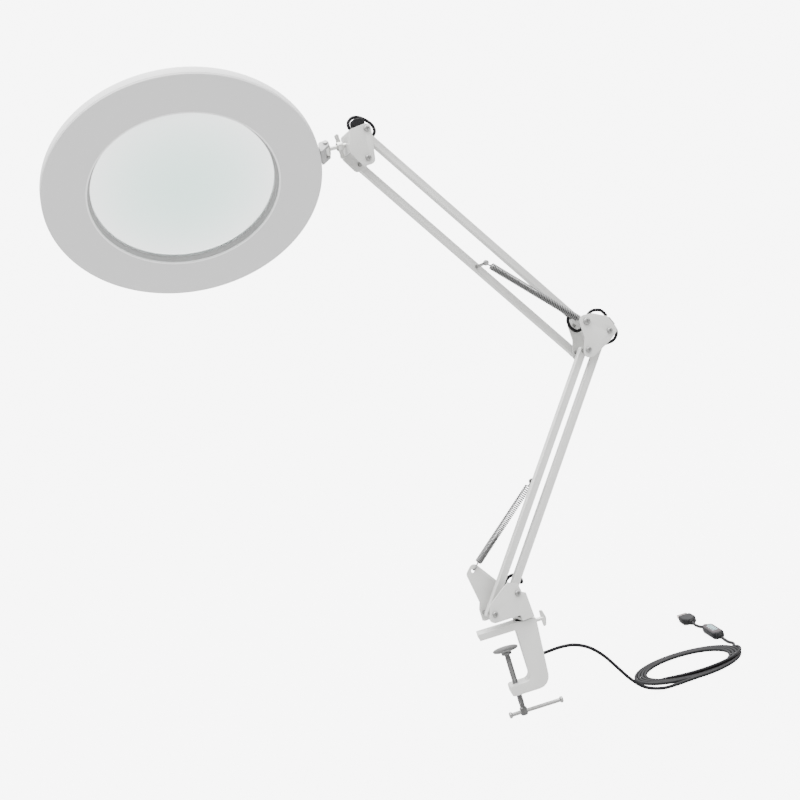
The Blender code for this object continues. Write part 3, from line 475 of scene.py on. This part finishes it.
def dome_strength(tree, level, overhead):
    """Soft light that is strongest straight above."""
    where = new_node(tree, "ShaderNodeTexCoord")
    split = new_node(tree, "ShaderNodeSeparateXYZ")
    tree.links.new(where.outputs["Generated"], split.inputs["Vector"])
    raised = new_node(tree, "ShaderNodeMath", operation="MAXIMUM")
    tree.links.new(split.outputs["Z"], raised.inputs[0])
    raised.inputs[1].default_value = 0.0
    square = new_node(tree, "ShaderNodeMath", operation="MULTIPLY")
    for index in (0, 1):
        tree.links.new(raised.outputs["Value"], square.inputs[index])
    total = new_node(tree, "ShaderNodeMath", operation="MULTIPLY_ADD")
    tree.links.new(square.outputs["Value"], total.inputs[0])
    total.inputs[1].default_value = overhead
    total.inputs[2].default_value = level
    return total.outputs["Value"]


def build_stage():
    """A plain pale floor, a pale room round it and soft studio lights."""
    shape = turned([(0.5, -4.0), (20000.0, -4.0), (20000.0, -0.02), (0.5, -0.02)], 64)
    bmesh.ops.recalc_face_normals(shape, faces=shape.faces)
    shape.transform(Matrix.Translation((0, 0, FLOOR * MM)) @ Matrix.Scale(MM, 4))
    mesh = bpy.data.meshes.new("studio_floor")
    shape.to_mesh(mesh)
    shape.free()
    paint = surface("floor_paint", (0.22, 0.22, 0.22), 0.9, grain=60, bump=0.02, spread=0.01)
    shader = paint.node_tree.nodes["Principled BSDF"]
    shader.inputs["Specular IOR Level"].default_value = 0.1
    shader.inputs["Emission Color"].default_value = (1, 1, 1, 1)
    strength = seen_strength(paint.node_tree, FLOOR_GLOW, FLOOR_SEEN, FLOOR_THROUGH)
    paint.node_tree.links.new(strength, shader.inputs["Emission Strength"])
    mesh.materials.append(paint)
    ground = bpy.data.objects.new("studio_floor", mesh)
    bpy.context.scene.collection.objects.link(ground)

    world = bpy.data.worlds.new("studio")
    world.use_nodes = True
    sky = world.node_tree.nodes["Background"]
    sky.inputs["Color"].default_value = (1, 1, 1, 1)
    dome = dome_strength(world.node_tree, SKY_LEVEL, SKY_OVERHEAD)
    strength = seen_strength(world.node_tree, dome, SKY_SEEN, SKY_THROUGH)
    world.node_tree.links.new(strength, sky.inputs["Strength"])
    bpy.context.scene.world = world
    area_light("key", (-1.4, -1.2, 1.9), (0, 0, 0.25), 7)
    area_light("back", (0.6, 1.6, 1.7), (0, 0, 0.3), 22)
    area_light("fill", (1.6, -1.4, 0.8), (0.1, 0, 0.1), 4)


# ---------------------------------------------------------------- cord

def lead_route():
    """The stretch from the clip down to the floor, and on to the coil."""
    return [(CLIP_END + GAP, 14.7, -35), (42, 14.8, -34.6), (54, 15.5, -34.4), (68, 18, -37),
            (82, 21.5, -45), (94, 25, -58), (104, 28.5, -74), (114, 32.5, -90), (126, 36.5, -103),
            (141, 39.5, -109.8), (154, 40.2, CORD_Z)]


def coil_route():
    """The turns: a spiral inwards on the floor, and back out over the top of it."""
    outer = COIL_OUT - CORD_R
    start = COIL_ENTRY + COIL_RUN_IN
    sweep_angle = (COIL_WRAPS + 1) * math.tau + COIL_RUN_IN - start
    count = 44 * COIL_WRAPS
    points = []
    for index in range(count + 1):
        share = index / count
        angle = start + sweep_angle * share
        reach = outer - COIL_PITCH * sweep_angle / math.tau * share
        rise = 0.0
        if share > COIL_LEAVE:
            out = (share - COIL_LEAVE) / (1 - COIL_LEAVE)
            reach += (outer + 1.5 - reach) * out * out * (3 - 2 * out)
            rise = 2 * CORD_R * math.sqrt(math.sin(math.pi * out)) if out < 1 else 0.0
        points.append((COIL.x + reach * math.cos(angle), COIL.y + reach * math.sin(angle),
                       CORD_Z + rise))
    return points


def tail_route():
    """From the coil to the switch's strain relief."""
    return [(SWITCH_X + 3.0, COIL.y + 27, CORD_Z), (SWITCH_X + 1.0, COIL.y + 40, CORD_Z),
            (SWITCH_X, SWITCH_Y[0] - 12, FLOOR + 3.2), (SWITCH_X, SWITCH_Y[0] - 10 - GAP, FLOOR + 3.8)]


def cord_piece(name, route, spacing, nodes):
    """A free cord as one round curve."""
    points = smooth_route(route, spacing)
    curve = bpy.data.curves.new(name, "CURVE")
    curve.dimensions = "3D"
    curve.bevel_depth = CORD_R * MM
    curve.bevel_resolution = 4
    curve.use_fill_caps = True
    line = curve.splines.new("POLY")
    line.points.add(len(points) - 1)
    for knot, point in zip(line.points, points):
        knot.co = (*(point * MM), 1.0)
    curve.materials.append(PAINT["black"])
    made = bpy.data.objects.new(name, curve)
    bpy.context.scene.collection.objects.link(made)
    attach(made, "clamp")
    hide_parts(*nodes)
    return made


def relief_piece(name, node, start, way):
    """A strain relief: a tapered sleeve with rings moulded in it."""
    profile = [(4.1, 0.0)]
    for ring in range(4):
        low = 1.4 + 2.0 * ring
        wide, narrow = 3.7 - 0.34 * ring, 2.9 - 0.25 * ring
        profile += [(wide, low), (wide, low + 0.9), (narrow, low + 1.15), (narrow, low + 1.75)]
    profile += [(2.2, 9.6)]
    turn = (math.radians(90 if way < 0 else -90), 0, 0)
    shape = moved(turned(profile, 32), (SWITCH_X, start, FLOOR + 4.5), turn)
    return piece(name, shape, "moulded", "clamp", nodes=(node,))


def build_switch():
    """The in-line switch: a shell with a parting groove, a face plate and four buttons in collars."""
    low, high = SWITCH_Y
    middle = Vector((SWITCH_X, (low + high) / 2, 0))
    half_x, half_y = 6.7, (high - low) / 2
    shell_levels = [(2.2, 1.6, 3.6, 0.06), (0.8, 0.6, 4.6, 0.8), (0.1, 0.1, 5.0, 2.6), (0, 0, 5.0, 4.4),
                    (0.25, 0.25, 4.8, 4.5), (0.25, 0.25, 4.8, 4.8), (0, 0, 5.0, 4.9), (0.1, 0.1, 4.9, 6.4),
                    (0.6, 0.6, 4.5, 7.6), (1.5, 1.5, 3.8, 8.1)]
    face_levels = [(1.5, 1.6, 3.7, 7.4), (1.5, 1.6, 3.7, 8.2), (1.8, 1.9, 3.5, 8.55), (2.6, 2.8, 2.8, 8.75)]
    shell, face = (stack([(half_x - in_x, half_y - in_y, radius, FLOOR + height)
                          for in_x, in_y, radius, height in levels])
                   for levels in (shell_levels, face_levels))
    shell = piece("switch_shell", moved(shell, middle), "moulded", "clamp",
                  nodes=("switch_body",))
    face = piece("switch_face_plate", moved(face, middle), "switch", "clamp")
    collar_line = [(2.55, 8.6), (3.15, 8.6), (3.15, 8.85), (3.0, 9.0), (2.7, 9.0), (2.55, 8.85)]
    dome_line = [(2.4, 7.4), (2.4, 9.5), (2.25, 9.85), (1.9, 10.05), (1.2, 10.1), (0.9, 10.0), (0.3, 9.95)]
    pieces = [shell, face]
    for index in range(4):
        place = (SWITCH_X, low + 14.5 + 7.2 * index, 0)
        collar = turned([(radius, FLOOR + z) for radius, z in collar_line], 40, True)
        pieces.append(piece(f"button_collar_{index + 1}", moved(collar, place), "mark",
                            "clamp"))
        dome = turned([(radius, FLOOR + z) for radius, z in dome_line], 36)
        button = piece(f"button_cap_{index + 1}", moved(dome, place), "button",
                       f"button_{index + 1}", nodes=(f"switch_button_{index + 1}",))
        pieces.append(button)
    return pieces


def build_plug():
    """The USB plug: a grip with a ribbed neck, a shell with two windows on each face, drawn as dark patches of
    painted shade, and its tongue.
    """
    middle_z = FLOOR + 4.3
    sections = [(0.0, 2.7, 2.7, 2.6), (1.2, 3.1, 3.1, 3.0), (1.9, 3.1, 3.1, 3.0), (2.1, 2.5, 2.5, 2.4),
                (3.0, 2.5, 2.5, 2.4), (3.2, 3.5, 3.3, 3.0), (4.6, 3.6, 3.3, 3.0), (4.8, 2.8, 2.7, 2.5),
                (5.8, 2.9, 2.7, 2.5), (6.0, 4.0, 3.5, 3.0), (8.0, 4.3, 3.6, 2.8), (13.0, 7.6, 4.1, 2.4),
                (15.0, 8.2, 4.2, 2.2), (24.0, 8.2, 4.2, 2.2), (34.4, 7.9, 4.2, 2.2), (35.6, 7.6, 3.9, 1.9),
                (36.0, 7.0, 3.4, 1.6)]
    rings = []
    for along, half_x, half_z, radius in sections:
        outline = pill(half_x, half_z, radius)
        rings.append([(PLUG_X + x, PLUG_Y + along, middle_z + z) for x, z in outline])
    grip = piece("plug_handle", skin(rings), "moulded", "clamp", nodes=("plug_grip",))
    start = PLUG_Y + 36.2
    folds = ((0, 6, 2.25), (13.6, 6, 2.25), (14, 5.9, 2.15), (14, 5.7, 1.95), (1, 5.65, 1.9))
    outer = [[(PLUG_X + x, start + along, middle_z + z) for x, z in pill(half_x, half_z, 0.5, 3)]
             for along, half_x, half_z in folds]
    shell = skin(outer)
    # The windows are dark patches of painted shade, standing for the shaded inside seen through holes in the
    # shell.
    window_shades = []
    for side in (-1, 1):
        for turn in (0, math.pi):
            latch = stack([(1.05, 1.15, 0.2, 2.16), (1.05, 1.15, 0.2, 2.28), (0.9, 1.0, 0.2, 2.3)])
            window_shades.append(moved(latch, (PLUG_X + 2.9 * side, start + 7.0, middle_z), (0, turn, 0)))
    shell = piece("plug_shell_plated", shell, "plate", "clamp", nodes=("plug_shell",))
    windows = piece("plug_window_shade", merge(window_shades), "dark", "clamp")
    tongue = stack([(5.1, 6.0, 0.2, 0.1), (5.1, 6.0, 0.2, 1.5)])
    tongue = piece("plug_insert", moved(tongue, (PLUG_X, start + 7.2, middle_z)), "board",
                   "clamp", nodes=("plug_tongue",))
    strips = []
    for index in range(4):
        strip = stack([(0.5, 4.0, 0.1, -0.05), (0.5, 4.0, 0.1, 0.2)])
        strips.append(moved(strip, (PLUG_X - 3.4 + 2.27 * index, start + 7.5, middle_z)))
    contacts = piece("plug_contacts", merge(strips), "gold", "clamp")
    return [grip, shell, windows, tongue, contacts]


def build_cord():
    """The free cord with its coil, switch and plug."""
    relief_in = relief_piece("relief_in", "switch_relief_in", SWITCH_Y[0] - GAP, -1)
    relief_out = relief_piece("relief_out", "switch_relief_out", SWITCH_Y[1] + GAP, 1)
    switch = build_switch()
    plug = build_plug()
    route = lead_route() + coil_route() + tail_route()
    cord_piece("cord", route, 3.0, ("cord_lead", "cord_coil", "cord_tail"))
    tip_start = SWITCH_Y[1] + 10
    tip = [(SWITCH_X, tip_start + GAP, FLOOR + 4.4), (SWITCH_X - 0.1, tip_start + 3, FLOOR + 4.0),
           (SWITCH_X - 1.0, tip_start + 9, CORD_Z + 0.5), (SWITCH_X - 2.8, tip_start + 18, CORD_Z + 0.1),
           (SWITCH_X - 4.6, tip_start + 26, CORD_Z + 1.0), (PLUG_X, PLUG_Y - 4, FLOOR + 4.0),
           (PLUG_X, PLUG_Y - 2 * GAP, FLOOR + 4.3)]
    cord_piece("cord_end", tip, 2.0, ("cord_tip",))


# ---------------------------------------------------------------- shared hardware

ALONG_V = (math.radians(-90), 0, 0)       # lays a shape that stands on z along v
AGAINST_V = (math.radians(90), 0, 0)
ALONG_X = (0, math.radians(90), 0)


def carve(shape, tool):
    """Cut one shape out of another."""
    pair = []
    for name, source in (("carved", shape), ("tool", tool)):
        bmesh.ops.recalc_face_normals(source, faces=source.faces)
        mesh = bpy.data.meshes.new(name)
        source.to_mesh(mesh)
        source.free()
        made = bpy.data.objects.new(name, mesh)
        bpy.context.scene.collection.objects.link(made)
        pair.append(made)
    cut = pair[0].modifiers.new("cut", "BOOLEAN")
    cut.object = pair[1]
    graph = bpy.context.evaluated_depsgraph_get()
    result = bmesh.new()
    result.from_mesh(pair[0].evaluated_get(graph).data)
    for made in pair:
        mesh = made.data
        bpy.data.objects.remove(made)
        bpy.data.meshes.remove(mesh)
    return result


def pan_head(radius, height):
    """A domed screw head standing on z = 0, with a cross recess."""
    dome = [(radius, 0.0), (radius, height * 0.45), (radius * 0.94, height * 0.72),
            (radius * 0.78, height * 0.92), (radius * 0.5, height), (0.05, height * 1.02)]
    slot, reach = 0.32, radius * 0.62
    arms = [stack([(reach, slot, 0.1, height * 0.35), (reach, slot, 0.1, height * 1.4)]),
            stack([(slot, reach, 0.1, height * 0.35), (slot, reach, 0.1, height * 1.4)])]
    shape = turned(dome)
    for arm in arms:
        shape = carve(shape, arm)
    return shape


def circle(radius, steps, z):
    """Points round a circle."""
    angles = [math.tau * step / steps for step in range(steps)]
    return [(radius * math.cos(angle), radius * math.sin(angle), z) for angle in angles]


def hex_nut(radius, height):
    """A hexagon nut with its corners turned off, standing on z = 0."""
    levels = ((0.92, 0.0), (1.0, 0.12 * height), (1.0, 0.82 * height), (0.88, height))
    return skin([circle(radius * share, 6, z) for share, z in levels])


def threaded(root, crest, pitch, low, high, steps=24):
    """A screw thread: a sleeve whose surface rises and falls along a helix."""
    rows = round((high - low) / pitch * 6)
    core = root * 0.85
    rings = [circle(core, steps, low)]
    for row in range(rows + 1):
        z = low + (high - low) * row / rows
        ring = []
        for step in range(steps):
            wave = abs(((z / pitch - step / steps) % 1.0) * 2 - 1)
            radius = root + (crest - root) * min(max(wave * 1.5 - 0.25, 0.0), 1.0)
            angle = math.tau * step / steps
            ring.append((radius * math.cos(angle), radius * math.sin(angle), z))
        rings.append(ring)
    rings.append(circle(core, steps, high))
    return skin(rings, closed=True)


def pivot_screw(node, at, rear=HALF_WIDTH, radius=2.9):
    """A pan-headed pivot screw with a lock nut behind the bracket."""
    front = HALF_WIDTH + GAP
    behind = rear + GAP
    at = Vector((at.x, 0, at.z))
    shank = moved(turned([(2.0, -front), (2.0, behind)], 24), at, ALONG_V)
    head = moved(pan_head(radius, 2.0), at - Vector((0, front, 0)), AGAINST_V)
    nut = moved(hex_nut(3.6, 1.9), at + Vector((0, behind, 0)), ALONG_V)
    stub = moved(turned([(1.9, 1.7), (1.9, 2.4), (1.6, 2.7)], 24), at + Vector((0, behind, 0)), ALONG_V)
    whole = merge([shank, head, nut, stub])
    return piece(node + "_screw", whole, "screw", body_of(node), ARM, nodes=(node,))


def hook(centre, axis, normal, radius, free=40):
    """The open loop at a spring's end, from its free end round to the spring's axis."""
    side = normal.cross(axis)
    angles = [math.radians(free + (350 - free) * step / 16) for step in range(17)]
    return [centre + radius * (math.cos(a) * axis + math.sin(a) * side) for a in angles]


def spring_line(start, end, turns, reach, loops, open_end):
    """The wire of a tension spring between two loop centres.

    loops gives each loop's normal and radius, and open_end spreads the turns towards one end.
    """
    axis = (end - start).normalized()
    length = (end - start).length
    first = axis.orthogonal().normalized()
    second = axis.cross(first)
    (start_normal, start_radius), (end_normal, end_radius) = loops
    line = hook(start, axis, start_normal, start_radius)
    low, high = start_radius + 3.2, length - end_radius - 3.2
    steps = 14
    for step in range(turns * steps + 1):
        share = step / (turns * steps)
        angle = math.tau * step / steps
        ramp = min(step / (steps * 0.75), (turns * steps - step) / (steps * 0.75), 1.0)
        along = share + open_end * share * (1 - share)
        out = reach * ramp * (math.cos(angle) * first + math.sin(angle) * second)
        line.append(start + axis * (low + (high - low) * along) + out)
    line += reversed(hook(end, -axis, end_normal, end_radius))
    return line


# ---------------------------------------------------------------- clamp

def build_clamp():
    """The cast C clamp with its threaded spindle, dished pad, tommy bar and wing screw."""
    refined("clamp_frame", "painted_metal", 0.9, 4)
    refined("swivel_washer", "moulded", 0.15, 2)
    refined("cable_clip", "moulded", 0.5)
    refined("base_post", "turned", 0.2)
    refined("clamp_screw", "turned", 0.25)
    refined("thumb_screw", "zinc", 0.55, 4)
    low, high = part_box("pressure_pad")
    top, neck = high.z / MM, low.z / MM
    dish = turned([(3.0, neck), (4.7, neck), (5.0, neck + 0.3), (5.0, neck + 2.2), (5.6, neck + 2.9),
                   (12.1, top - 1.5), (12.5, top - 1.1), (12.5, top - 0.35), (12.2, top - 0.05),
                   (11.6, top), (10.8, top - 0.12), (6.0, top - 0.5), (0.05, top - 0.6)], 64)
    piece("pad_dish", dish, "pad", "pad", nodes=("pressure_pad",))
    thread = threaded(2.53, 2.78, 1.0, -72.0, top - 9.0)
    piece("spindle_thread", thread, "turned", "spindle", angle=60)

    low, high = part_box("tommy_bar")
    start, end, level = low.x / MM, high.x / MM, (low.z + high.z) / 2 / MM
    knob = [(0.05, 0.0, 0), (2.4, 0.0, 0.8), (3.2, 1.1, 0.7), (3.2, 2.5, 0.5), (1.95, 3.4, 0.2)]
    bar = [(reach, start + along, radius) for reach, along, radius in knob]
    bar += [(reach, end - along, radius) for reach, along, radius in reversed(knob)]
    bar = rounded(bar, 4, closed=False)
    piece("tommy_handle", moved(turned(bar, 32), (0, 0, level), ALONG_X), "screw", "tommy",
          nodes=("tommy_bar",))

    low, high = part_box("clip_screw")
    place = ((low.x + high.x) / 2 / MM, high.y / MM - 2.0, (low.z + high.z) / 2 / MM)
    shank = moved(turned([(1.5, -13.0), (1.5, 0.2)], 24), place, ALONG_V)
    whole = merge([shank, moved(pan_head(3.0, 2.0), place, ALONG_V)])
    piece("clip_screw_head", whole, "screw", "clamp", nodes=("clip_screw",))


# ---------------------------------------------------------------- arms

EAR = Vector((-30.5, 0.0, 64.7))
LOWER_STUD = 137.0
UPPER_STUD = 134.0
FRONT_SPRING_V = -9.4
REAR_SPRING_V = 11.2
WIRE_R = 0.72
SPRING_REACH = 3.0


def spring_piece(name, node, line):
    """A tension spring between the two bodies that it joins, fixed where it is built."""
    made = piece(name, sweep(line, WIRE_R, 7), "steel", None, ARM, nodes=(node,), angle=70)
    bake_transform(made)


def build_springs():
    """The two balance springs."""
    across = Vector((0, 1, 0))
    stud = B2 + LOWER_DIR * LOWER_STUD + across * REAR_SPRING_V
    ear = EAR + across * (HALF_WIDTH - 0.75)
    away = (stud - ear).normalized()
    start = ear + away * 3.7
    loops = ((away.cross(across).normalized(), 2.6), (-across, 2.15))
    line = spring_line(start, stud, 52, SPRING_REACH, loops, -0.25)
    spring_piece("balance_spring_lower", "lower_spring", line)
    stud = P2 + UPPER_DIR * UPPER_STUD + across * FRONT_SPRING_V
    start = P1 + across * FRONT_SPRING_V
    away = (stud - start).normalized()
    line = spring_line(start, stud, 58, SPRING_REACH, ((across, 2.75), (-across, 2.15)), 0.1)
    spring_piece("balance_spring_upper", "upper_spring", line)


def build_arms():
    """Tubes, pressed brackets and the screws that they turn on."""
    for node in ("lower_cable_bar", "lower_link", "upper_cable_bar", "upper_link"):
        refined(node, "painted_metal", 0.55, 3)
    for node in ("base_bracket", "elbow_bracket", "head_bracket"):
        refined(node, "painted_metal", 0.3, 3)
    far = HALF_WIDTH + GAP + BAR
    pivot_screw("base_bolt_right", B1)
    pivot_screw("base_bolt_left", B2)
    pivot_screw("elbow_bolt_top", P1, radius=3.6)
    pivot_screw("elbow_bolt_left", P2, rear=far)
    pivot_screw("elbow_bolt_right", P3)
    pivot_screw("head_bolt_top", H1)
    pivot_screw("head_bolt_low", H2, rear=far)
    for node in ("lower_spring_stud", "upper_spring_stud"):
        refined(node, "screw", 0.2, 2)
    refined("elbow_cable_block", "moulded", 0.5, 3)
    drum = stack([(5.4, 3.9, 3.2, 3.8), (6.2, 4.6, 3.9, 4.6), (6.2, 4.6, 3.9, 12.4),
                  (5.4, 3.9, 3.2, 13.2)])
    piece("head_cable_drum", moved(drum, (-19.6, 0, 508.6), AGAINST_V), "moulded",
          body_of("head_cable_block"), ARM, nodes=("head_cable_block",))
    refined("base_grommet", "moulded", 0.25, 2)
    refined("head_stem", "zinc", 0.2, 2)
    build_wing_nut()


def build_wing_nut():
    """The wing nut that locks the head's stem in its bracket."""
    low, high = -43.0, -37.6
    hub = rounded([(2.4, low, 0), (4.0, low, 0.5), (4.6, low + 1.6, 1.0), (4.6, high, 0.4),
                   (2.4, high, 0)], 4)
    shapes = [moved(turned(hub, 32, True), (0, 0, PIN.z), ALONG_X)]
    for way in (1, -1):
        outline = rounded([(high - 0.3, 3.2, 0.3), (high - 0.9, 8.0, 3.0), (high - 0.6, 11.4, 1.4),
                           (high - 2.8, 12.6, 1.6), (low + 0.3, 11.0, 1.8), (low + 0.9, 7.0, 3.0),
                           (low + 0.5, 3.2, 0.3)], 5)
        middle = Vector(((low + high) / 2, 7.5))
        rings = []
        for share, v in ((0.9, -1.25), (1.0, -0.7), (1.0, 0.7), (0.9, 1.25)):
            ring = [middle + (point - middle) * share for point in outline]
            rings.append([(point.x, v, PIN.z + way * point.y) for point in ring])
        shapes.append(skin(rings))
    piece("wing_nut", merge(shapes), "zinc", body_of("stem_nut"), ARM, nodes=("stem_nut",))


def arm_cable(name, node, bodies, route):
    """A cable loop over a pivot between the two bodies that the pivot joins, fixed where it is built."""
    shape = sweep(smooth_route(route, 1.2), CABLE_R, 16)
    place = Matrix.Identity(4) if "clamp" in bodies else ARM
    made = piece(name, shape, "black", None, place, nodes=(node,))
    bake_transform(made)


def build_cables():
    """The lamp's cable where it shows, between the tubes that it runs in."""
    base = [(-2, 11.2, 20), (-3.6, 9.4, 21.2), (-7.2, 8.6, 25.5), (-9.5, 8.5, 33), (-5, 8, 43),
            (1.2, 8, 48.2), (7.6, 7.4, 48.2), (10.8, 3.6, 43.6), (10, 1, 40.5), (8.4, 0, 40.6)]
    arm_cable("cable_over_base", "base_cable_loop", ("base", "lower_bar"), base)
    upper = [(137.4, 0, 273.5), (137.0, 2, 269.5), (140, 5.5, 263), (147, 8, 258), (156, 8, 261),
             (160, 6.5, 268.5), (166, 3.5, 273), (172.5, 0, 272), (176.5, 0, 268.5), (178.6, 0, 264.0)]
    arm_cable("cable_over_elbow", "elbow_cable_upper", ("upper_bar", "elbow"), upper)
    lower = [(182.8, 0, 251.8), (184.5, 0, 247), (182.5, 0, 242), (177, 0, 238.3), (168.3, 0, 237.8)]
    arm_cable("cable_under_elbow", "elbow_cable_lower", ("elbow", "lower_bar"), lower)
    tip = [(-4.6, 0, 495.6), (-1.8, 0, 499.5), (-2.6, 0, 505.5), (-8, -1, 511.5), (-15, -3, 515.3),
           (-22, -6, 515.6), (-27.6, -8, 512.2), (-29.2, -9, 507.5), (-27.6, -9, 504.4), (-25, -9, 505)]
    arm_cable("cable_over_head", "head_cable_loop", ("upper_bar", "yoke"), tip)
    swivel = [(18.6, 17.2, 20), (18.2, 19.5, 15.5), (18.6, 19.3, 5), (19.0, 17.0, -8), (19.1, 15.2, -19),
              (19.3, 14.7, -28), (21.2, 14.7, -33.2), (25.1, 14.7, -35)]
    arm_cable("cable_to_clip", "swivel_cable_loop", ("base", "clamp"), swivel)
    for node in ("lower_bar_cable", "upper_bar_cable"):
        refined(node, "black", 0.05, 1)


# ---------------------------------------------------------------- head

HEAD_STEPS = 160


def build_lens():
    """The lens: a thick disc, domed on both faces."""
    edge, middle, bulge, rings = 6.4, 7.8, 4.6, 14
    shares = [max(ring / rings, 0.002) for ring in range(rings + 1)]
    profile = [(LENS_R * f, edge - bulge * (1 - f * f)) for f in shares]
    profile += [(LENS_R * f, 2 * middle - edge + bulge * (1 - f * f)) for f in reversed(shares)]
    made = piece("lens_disc", turned(profile, HEAD_STEPS), "lens", "head", HEAD,
                 nodes=("lens",))
    inward = HEAD.inverted()
    tint = made.data.attributes.new("from_axis", "FLOAT", "POINT")
    reach = [((inward @ vert.co).xy.length / (LENS_R * MM)) ** 2 for vert in made.data.vertices]
    tint.data.foreach_set("value", reach)


def build_head():
    """The round housing, its flat light cover, the lens and the hinge on the rim."""
    shell = rounded([
        (HEAD_R, 2.35, 0.25), (HEAD_R, 11.9, 4.0), (126.0, 14.9, 9.0), (112.0, 17.4, 20.0),
        (97.0, 16.8, 8.0), (88.0, 14.0, 2.0), (86.2, 12.4, 0.4), (86.2, 10.2, 0.3), (89.8, 10.2, 0.2),
        (89.8, 2.35, 0.2), (91.8, 2.35, 0.2), (91.8, 12.6, 0.5), (98.0, 14.6, 5.0), (112.0, 15.2, 10.0),
        (124.7, 12.7, 5.0), (129.5, 8.6, 2.0), (129.5, 2.35, 0.2)], 4)
    piece("head_shell", turned(shell, HEAD_STEPS, True), "head_plastic", "head", HEAD,
          nodes=("head_housing",))
    inner, outer = OPENING_R - 0.1, HEAD_R - 0.1
    plate = rounded([(inner, 0.0, 0.3), (outer, 0.0, 1.1), (outer, 2.0, 0.15), (inner, 2.0, 0.15)], 5)
    piece("light_cover_plate", turned(plate, HEAD_STEPS, True), "cover_plastic", "head",
          HEAD, nodes=("light_cover",))
    bezel = rounded([(89.75, 0.5, 0.1), (89.9, -0.45, 0.3), (91.3, -0.3, 0.3), (91.5, 0.1, 0.05),
                     (90.3, 0.1, 0.05), (90.3, 2.2, 0.1), (89.75, 2.2, 0.1)], 4)
    piece("opening_bezel", turned(bezel, HEAD_STEPS, True), "bezel", "head", HEAD)
    # The recess wall is drawn dark grey: painted shade in the recess round the lens.
    wall = rounded([(89.6, 0.9, 0.1), (87.9, 5.6, 0.3), (86.8, 5.75, 0.1), (86.8, 6.0, 0.1),
                    (89.7, 6.0, 0.1)], 3)
    piece("recess_wall_painted_shade", turned(wall, HEAD_STEPS, True), "wall", "head", HEAD,
          nodes=("lens_retainer",))
    screws, screw_reach = [], 104.5
    for index in range(6):
        angle = math.radians(30 + 60 * index)
        place = (screw_reach * math.cos(angle), screw_reach * math.sin(angle), 16.7)
        screws.append(moved(pan_head(2.6, 1.3), place))
    piece("back_screws", merge(screws), "screw", "head", HEAD)
    build_lens()
    refined("led_board", "board", 0.05, 1)
    refined("rim_hinge", "dark", 0.5, 3)
    refined("rim_pin", "screw", 0.2, 2)


build_camera()
build_stage()
build_cord()
build_clamp()
build_arms()
build_springs()
build_cables()
build_head()
